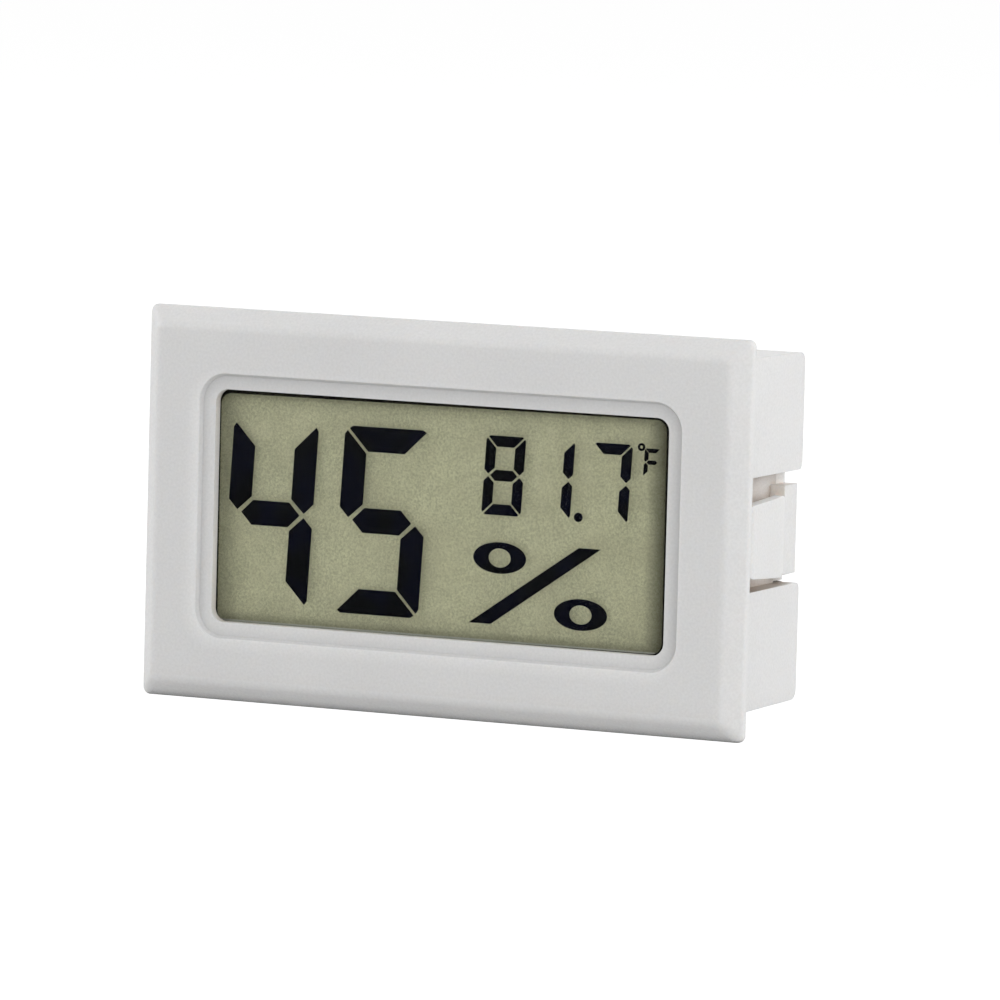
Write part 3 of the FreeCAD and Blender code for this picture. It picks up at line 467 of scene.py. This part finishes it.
@dataclass(frozen=True)
class MouldedPlastic:
    """Pale ABS from a spark-eroded mould: matt, with a fine grain and a faint drift in tone.

    Each field that ends in _open is the range of openness over which its painted shade fades.
    """

    name: str
    colour: Colour
    shade: Colour
    roughness: float = 0.5
    roughness_swing: float = 0.06
    shine: float = 0.4
    grain: float = 0.2 * MILLIMETRE
    grain_depth: float = 0.004 * MILLIMETRE
    grain_tone: float = 0.93
    drift: float = 9.0 * MILLIMETRE
    glow: float = 0.35
    glow_spread: Colour = (1.0, 0.85, 0.7)
    glow_reach: float = 0.7 * MILLIMETRE
    edge: float = 0.07 * MILLIMETRE
    # Painted shade beside a low step: how near the step counts, how dark it is, and over which openness it
    # fades
    step_shade_reach: float = 1.2 * MILLIMETRE
    step_shade: float = 0.94
    step_shade_open: Range = (0.5, 0.95)
    # Painted contact shadow where pieces touch, and the openness over which it fades
    contact_shadow: float = 0.3
    contact_shadow_open: Range = (0.05, 0.32)
    # Painted warm tone in a deep hollow, for the hollow's shade and for light coming through the walls
    hollow: Colour = (0.60, 0.515, 0.445)
    hollow_reach: float = 6.0 * MILLIMETRE
    hollow_open: Range = (0.25, 0.6)
    border: SunkBorderPaintedLight | None = None

    def material(self) -> bpy.types.Material:
        """Returns the material: two tones mixed by soft drift, with grain, under a fine relief.

        It wears a painted shade beside a low step and a dark painted contact shadow where pieces touch, and
        in a deep hollow a painted warm tone that stands in for the hollow's shade and for light coming
        through the walls.
        Round a sunk border it wears that border's painted highlight and shade.
        """
        recipe = Recipe(self.name)
        grain = recipe.noise(self.grain, detail=3.0)
        drift = recipe.noise(self.drift, detail=1.0)
        tone = recipe.blend(recipe.spread(drift, 0.0, 1.0), self.colour, self.shade)
        # Painted warm tone in deep hollows: painted shade, and painted light coming through the walls
        wide = recipe.off_the_floor(recipe.openness(self.hollow_reach))
        tone = recipe.blend(recipe.spread(wide, 1.0, 0.0, *self.hollow_open), tone, self.hollow)
        # Painted shade beside low steps, and a painted contact shadow where pieces touch
        near = recipe.openness(self.step_shade_reach)
        step = recipe.spread(recipe.off_the_floor(near), self.step_shade, 1.0, *self.step_shade_open)
        contact = recipe.spread(near, self.contact_shadow, 1.0, *self.contact_shadow_open)
        shaded = recipe.worked(Sum.MULTIPLY, step, contact)
        # Painted highlight and painted shade round a sunk border
        if self.border is not None:
            shaded = recipe.worked(Sum.MULTIPLY, shaded, self.border.tone(recipe))
        grainy = recipe.worked(Sum.MULTIPLY, shaded, recipe.spread(grain, 1.0, self.grain_tone))
        rough = recipe.spread(
            grain, self.roughness - self.roughness_swing, self.roughness + self.roughness_swing)
        return recipe.surface(
            Base_Color=recipe.dimmed(tone, grainy),
            Roughness=rough,
            Specular_IOR_Level=self.shine,
            Subsurface_Weight=self.glow,
            Subsurface_Radius=self.glow_spread,
            Subsurface_Scale=self.glow_reach,
            Normal=recipe.relief(grain, self.grain_depth, self.edge),
        )


@dataclass(frozen=True)
class ClearLayer:
    """A clear sheet over the segments: it tints what is behind it and barely mirrors."""

    name: str
    tint: Colour
    head_on_gloss: float
    roughness: float
    opening: Opening | None = None
    # Painted shade outside the opening, and how softly it fades in
    rim_shade: Colour = (0.24, 0.24, 0.225)
    rim_shade_blur: float = 0.05 * MILLIMETRE
    cloud: float = 2.5 * MILLIMETRE
    cloud_tone: float = 0.985
    glancing_power: float = 5.0

    def material(self) -> bpy.types.Material:
        """Returns the material: tinted and see-through, under a gloss that grows at a glancing angle.

        The gloss is its head-on share, plus the rest times one minus the cosine of the angle, to the
        fifth power. Outside its opening a film wears a dark painted shade, for the shade that the window's
        edge casts on a display.
        """
        recipe = Recipe(self.name)
        cloud = recipe.spread(recipe.noise(self.cloud), 0.0, 1.0)
        tint = recipe.blend(cloud, self.tint, darkened(self.tint, self.cloud_tone))
        # Painted shade outside the opening, where the window's edge shades the display
        if self.opening is not None:
            inside = recipe.spread(recipe.depth_inside(self.opening), 0.0, 1.0, 0.0, self.rim_shade_blur)
            tint = recipe.blend(inside, self.rim_shade, tint)
        through = recipe.add("ShaderNodeBsdfTransparent")
        recipe.feed(through.inputs["Color"], tint)
        gloss = recipe.add("ShaderNodeBsdfGlossy")
        gloss.inputs["Roughness"].default_value = self.roughness
        facing = recipe.add("ShaderNodeLayerWeight")
        glancing = recipe.worked(Sum.POWER, facing.outputs["Facing"], self.glancing_power)
        mirrored = recipe.spread(glancing, self.head_on_gloss, 1.0, 0.0, 1.0)
        return recipe.done(recipe.mixed(mirrored, through.outputs["BSDF"], gloss.outputs["BSDF"]))


@dataclass(frozen=True)
class ReflectorFilm:
    """The grey-green reflecting film behind the glasses, with its fine speckle."""

    name: str
    colour: Colour
    shade: Colour
    warm: Colour
    # The lit outline, and the painted shade that deepens towards and past its edge
    lit: Opening
    wall_shade: Colour = (0.15, 0.145, 0.09)
    wall_shade_reach: float = 1.7 * MILLIMETRE
    speckle: float = 0.17 * MILLIMETRE
    speckle_range: Range = (0.41, 0.59)
    speckle_depth: float = 0.005 * MILLIMETRE
    patch: float = 2.2 * MILLIMETRE
    patch_share: float = 0.35
    roughness: Range = (0.55, 0.75)
    shine: float = 0.2

    def material(self) -> bpy.types.Material:
        """Returns the material: a speckle of two tones with wide warm patches.

        Towards the edge of its lit area it wears a painted shade, for the shade of the window's walls.
        """
        recipe = Recipe(self.name)
        speckle = recipe.noise(self.speckle, detail=3.0)
        grain = recipe.spread(speckle, 0.0, 1.0, *self.speckle_range)
        patch = recipe.spread(recipe.noise(self.patch), 0.0, self.patch_share)
        even = recipe.blend(patch, recipe.blend(grain, self.colour, self.shade), self.warm)
        # Painted shade from the window's walls, towards the edge of the lit area
        inside = recipe.spread(recipe.depth_inside(self.lit), 0.0, 1.0, 0.0, self.wall_shade_reach)
        return recipe.surface(
            Base_Color=recipe.blend(inside, self.wall_shade, even),
            Roughness=recipe.spread(speckle, *self.roughness),
            Specular_IOR_Level=self.shine,
            Normal=recipe.relief(speckle, self.speckle_depth),
        )


@dataclass(frozen=True)
class DarkInk:
    """The switched-on liquid crystal: near black, with a navy cast that drifts from place to place."""

    name: str
    colour: Colour
    cast: Colour
    patch: float = 3.0 * MILLIMETRE
    patch_range: Range = (0.4, 0.6)
    shadow_share: float = 0.05
    bounce_share: float = 0.55

    def material(self) -> bpy.types.Material:
        """Returns the material: black and navy mixed by soft patches, with no shine.

        Nearly all of a lamp's light goes through it, and some of the bounced light, so it casts only
        a faint shade on the reflector.
        """
        recipe = Recipe(self.name)
        patch = recipe.spread(recipe.noise(self.patch, detail=1.0), 0.0, 1.0, *self.patch_range)
        diffuse = recipe.add("ShaderNodeBsdfDiffuse")
        recipe.feed(diffuse.inputs["Color"], recipe.blend(patch, self.colour, self.cast))
        through = recipe.add("ShaderNodeBsdfTransparent")
        path = recipe.add("ShaderNodeLightPath")
        bounced = recipe.worked(Sum.MULTIPLY, path.outputs[Ray.DIFFUSE.value], self.bounce_share)
        lighting = recipe.worked(Sum.LARGER, path.outputs[Ray.SHADOW.value], bounced)
        passed = recipe.spread(lighting, 0.0, 1.0 - self.shadow_share, 0.0, 1.0)
        return recipe.done(recipe.mixed(passed, diffuse.outputs["BSDF"], through.outputs["BSDF"]))


@dataclass(frozen=True)
class MottledSolid:
    """A mottled material for the parts inside: board, resin, rubber, ceramics and metal."""

    name: str
    colour: Colour
    shade: Colour
    roughness: float
    blotch: float
    roughness_swing: float = 0.08
    fineness: float = 8.0
    fine_share: float = 0.3
    metallic: float = 0.0
    relief: float = 0.004 * MILLIMETRE
    stretch: Point = (1.0, 1.0, 1.0)

    def material(self) -> bpy.types.Material:
        """Returns the material: two tones mixed by soft blotches and fine grain, with a matching relief."""
        recipe = Recipe(self.name)
        fine = recipe.noise(self.blotch / self.fineness, detail=3.0, stretch=self.stretch)
        wide = recipe.noise(self.blotch, stretch=self.stretch)
        colour = recipe.blend(recipe.spread(wide, 0.0, 1.0), self.colour, self.shade)
        rough = recipe.spread(
            fine, self.roughness - self.roughness_swing, self.roughness + self.roughness_swing)
        return recipe.surface(
            Base_Color=recipe.blend(recipe.spread(fine, 0.0, self.fine_share), colour, self.shade),
            Metallic=self.metallic,
            Roughness=rough,
            Normal=recipe.relief(fine, self.relief),
        )


# Every finish of the meter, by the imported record's material slot
FINISHES: dict[str, Finish] = {
    # The case wears a painted highlight and a painted shade round its window's sunk border
    "case_plastic": MouldedPlastic(
        "case_abs", (0.825, 0.823, 0.818), (0.80, 0.798, 0.795),
        border=SunkBorderPaintedLight(Opening.in_millimetres(-19.24, 19.24, -9.665, 9.665, corner=2.14))),
    # The cover's hollow tone is lighter and warmer than its plastic: painted light coming through its thin
    # tongue
    "cover_plastic": MouldedPlastic(
        "cover_abs", (0.83, 0.827, 0.82), (0.80, 0.797, 0.79), roughness=0.46, glow=0.5,
        glow_reach=1.0 * MILLIMETRE, step_shade=0.97, hollow=(0.93, 0.86, 0.79)),
    # Outside this opening the polarizer wears a dark painted shade, where the window's edge shades the
    # display
    "polarizer": ClearLayer(
        "polarizer_film", (0.985, 0.985, 0.97), head_on_gloss=0.003, roughness=0.22,
        opening=Opening.in_millimetres(-18.01, 17.61, -8.52, 8.24, corner=0.85, turn=-0.0035)),
    "glass": ClearLayer("display_glass", (0.995, 0.998, 0.993), head_on_gloss=0.001, roughness=0.05),
    # The reflector's lit outline, outside which its painted shade from the window's walls deepens
    "reflector": ReflectorFilm(
        "reflector_film", (0.995, 0.99, 0.765), (0.705, 0.703, 0.515), (0.92, 0.885, 0.675),
        lit=Opening.in_millimetres(-21.0, 17.2, -9.5, 9.35, corner=1.0)),
    "ink": DarkInk("segment_ink", (0.0015, 0.0018, 0.003), (0.0014, 0.0018, 0.008)),
    "seal": MottledSolid(
        "seal_glue", (0.62, 0.63, 0.58), (0.55, 0.56, 0.52), roughness=0.5, blotch=1.5 * MILLIMETRE),
    "zebra_rubber": MottledSolid(
        "layered_rubber", (0.035, 0.035, 0.037), (0.11, 0.11, 0.115),
        roughness=0.75, blotch=1.0 * MILLIMETRE, stretch=(12.0, 1.0, 1.0)),
    "board": MottledSolid(
        "board_laminate", (0.035, 0.16, 0.06), (0.05, 0.20, 0.08), roughness=0.4, blotch=2.0 * MILLIMETRE),
    "chip_resin": MottledSolid(
        "chip_resin", (0.012, 0.012, 0.013), (0.02, 0.02, 0.021), roughness=0.25, blotch=3.0 * MILLIMETRE),
    "sensor_film": MottledSolid(
        "sensor_film", (0.70, 0.68, 0.62), (0.60, 0.57, 0.50), roughness=0.6, blotch=0.8 * MILLIMETRE),
    "bead_resin": MottledSolid(
        "bead_resin", (0.02, 0.02, 0.022), (0.04, 0.04, 0.043), roughness=0.3, blotch=1.0 * MILLIMETRE),
    "resistor_black": MottledSolid(
        "resistor_body", (0.02, 0.02, 0.022), (0.05, 0.05, 0.05), roughness=0.5, blotch=0.8 * MILLIMETRE),
    "capacitor_tan": MottledSolid(
        "capacitor_body", (0.36, 0.24, 0.14), (0.28, 0.18, 0.10), roughness=0.5, blotch=0.8 * MILLIMETRE),
    "cell_steel": MottledSolid(
        "cell_steel", (0.62, 0.62, 0.61), (0.50, 0.50, 0.49),
        roughness=0.32, blotch=4.0 * MILLIMETRE, metallic=1.0, relief=0.002 * MILLIMETRE),
    "contact_metal": MottledSolid(
        "contact_nickel", (0.66, 0.64, 0.60), (0.52, 0.50, 0.46),
        roughness=0.30, blotch=2.0 * MILLIMETRE, metallic=1.0, relief=0.002 * MILLIMETRE),
}


@dataclass
class Meter:
    """The meter's own solids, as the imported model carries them."""

    nodes: dict[str, bpy.types.Object]

    def dress(self) -> None:
        """Gives every node the finish of the slot that its packed material is named after."""
        made = {slot: finish.material() for slot, finish in FINISHES.items()}
        for name, node in self.nodes.items():
            slot = node.material_slots[0].material.name
            node.material_slots[0].material = made[slot]
            LOG.info("%s wears %s", name, made[slot].name)


@dataclass(frozen=True)
class SoftLamp:
    """A square studio lamp that faces the meter."""

    name: str
    place: Point
    power: float
    size: float = 0.5

    def hang(self, target: Vector) -> bpy.types.Object:
        """Makes the lamp.

        Args:
            target: the point that it faces.

        Returns:
            The lamp's object.
        """
        data = bpy.data.lights.new(self.name, "AREA")
        data.shape = "SQUARE"
        data.size = self.size
        data.energy = self.power
        lamp = bpy.data.objects.new(self.name, data)
        lamp.location = self.place
        lamp.rotation_euler = (target - Vector(self.place)).to_track_quat("-Z", "Y").to_euler()
        bpy.context.scene.collection.objects.link(lamp)
        return lamp


@dataclass
class Studio:
    """The pale floor, the soft lamps, the sky and the camera."""

    floor_size: float = 6.0
    floor_colour: Colour = (0.66, 0.66, 0.66)
    seen_colour: Colour = (0.30, 0.30, 0.30)
    seen_glow: float = 0.95
    fleck: float = 0.02
    fleck_tone: float = 0.99
    sky_level: float = 0.12
    seen_level: float = 1.0
    target: Point = (0.0, 0.004, 0.0)
    lamps: tuple[SoftLamp, ...] = (
        SoftLamp("top_lamp", (0.0, 0.01, 0.55), 0.97),
        SoftLamp("left_lamp", (-0.55, 0.0, 0.12), 1.41),
        SoftLamp("left_front_lamp", (-0.42, -0.42, 0.15), 1.17),
        SoftLamp("right_lamp", (0.55, 0.0, 0.12), 1.29),
        SoftLamp("right_front_lamp", (0.40, -0.45, 0.12), 1.67),
        SoftLamp("right_back_lamp", (0.42, 0.38, 0.15), 0.89),
        SoftLamp("back_lamp", (-0.15, 0.70, 0.25), 0.31),
    )
    camera_place: Point = (0.26892, -0.55527, 0.06054)
    camera_aim: Point = (0.003422, 0.001792, 0.001519)
    camera_roll: float = math.radians(1.507)
    camera_lens: float = 310.745
    camera_sensor: float = 36.0
    camera_range: Range = (0.01, 50.0)

    def seen(self, tree: bpy.types.NodeTree) -> Socket:
        """Adds the share of a ray that sees the backdrop itself: a camera, mirror or glass ray.

        Args:
            tree: the node tree to add it to.

        Returns:
            1 for such a ray and 0 for light.
        """
        path = tree.nodes.new("ShaderNodeLightPath")
        total = path.outputs[Ray.CAMERA.value]
        for ray in (Ray.GLOSSY, Ray.TRANSMISSION):
            add = tree.nodes.new("ShaderNodeMath")
            add.operation = Sum.ADD.value
            add.use_clamp = True
            tree.links.new(total, add.inputs[0])
            tree.links.new(path.outputs[ray.value], add.inputs[1])
            total = add.outputs["Value"]
        return total

    def floor_finish(self) -> bpy.types.Material:
        """Returns the floor's material: pale to light, and near white with a soft shadow to the eye."""
        recipe = Recipe("studio_floor")
        fleck = recipe.spread(recipe.noise(self.fleck), 0.0, 1.0)
        lit = recipe.add("ShaderNodeBsdfDiffuse")
        recipe.feed(lit.inputs["Color"], self.floor_colour)
        shown = recipe.add("ShaderNodeBsdfDiffuse")
        flecked = recipe.blend(fleck, self.seen_colour, darkened(self.seen_colour, self.fleck_tone))
        recipe.feed(shown.inputs["Color"], flecked)
        glow = recipe.add("ShaderNodeEmission")
        glow.inputs["Strength"].default_value = self.seen_glow
        added = recipe.add("ShaderNodeAddShader")
        recipe.feed(added.inputs[0], shown.outputs["BSDF"])
        recipe.feed(added.inputs[1], glow.outputs["Emission"])
        return recipe.done(
            recipe.mixed(self.seen(recipe.tree), lit.outputs["BSDF"], added.outputs["Shader"]))

    def lay_floor(self, level: float) -> bpy.types.Object:
        """Makes the floor.

        Args:
            level: its height.

        Returns:
            The floor's object.
        """
        half = self.floor_size / 2.0
        corners = [(-half, -half, level), (half, -half, level), (half, half, level), (-half, half, level)]
        mesh = bpy.data.meshes.new("studio_floor")
        mesh.from_pydata(corners, [], [(0, 1, 2, 3)])
        mesh.materials.append(self.floor_finish())
        floor = bpy.data.objects.new("studio_floor", mesh)
        bpy.context.scene.collection.objects.link(floor)
        floor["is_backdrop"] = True
        return floor

    def light_sky(self) -> None:
        """Sets a plain world: a soft level for light, and white where it is seen."""
        world = bpy.data.worlds.new("studio_sky")
        world.use_nodes = True
        tree = world.node_tree
        sky = tree.nodes["Background"]
        level = tree.nodes.new("ShaderNodeMapRange")
        level.inputs["To Min"].default_value = self.sky_level
        level.inputs["To Max"].default_value = self.seen_level
        tree.links.new(self.seen(tree), level.inputs["Value"])
        tree.links.new(level.outputs["Result"], sky.inputs["Strength"])
        sky.inputs["Color"].default_value = (1.0, 1.0, 1.0, OPAQUE)
        bpy.context.scene.world = world

    def set_camera(self) -> bpy.types.Object:
        """Makes the camera at the photograph's place, aim, roll and lens, and returns it."""
        data = bpy.data.cameras.new("photo_camera")
        data.lens = self.camera_lens
        data.sensor_width = self.camera_sensor
        data.clip_start, data.clip_end = self.camera_range
        camera = bpy.data.objects.new("photo_camera", data)
        camera.location = self.camera_place
        aim = Vector(self.camera_aim) - Vector(self.camera_place)
        level_view = aim.to_track_quat("-Z", "Y")
        camera.rotation_mode = "QUATERNION"
        camera.rotation_quaternion = level_view @ Quaternion((0.0, 0.0, 1.0), self.camera_roll)
        bpy.context.scene.collection.objects.link(camera)
        bpy.context.scene.camera = camera
        return camera

    def build(self, floor_level: float) -> None:
        """Builds the whole studio.

        Args:
            floor_level: the height of the meter's lowest point.
        """
        self.set_camera()
        self.lay_floor(floor_level)
        self.light_sky()
        for lamp in self.lamps:
            lamp.hang(Vector(self.target))
            LOG.info("%s hangs at %s", lamp.name, lamp.place)


def main() -> None:
    logging.basicConfig(level=logging.INFO, format="%(name)s: %(message)s")
    packed_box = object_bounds()
    bpy.context.scene.view_settings.view_transform = "Standard"
    bpy.context.scene.cycles.transparent_max_bounces = CLEAR_FACES
    Studio().build(packed_box[0].z)
    Meter(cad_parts).dress()


if __name__ == "__main__":
    main()
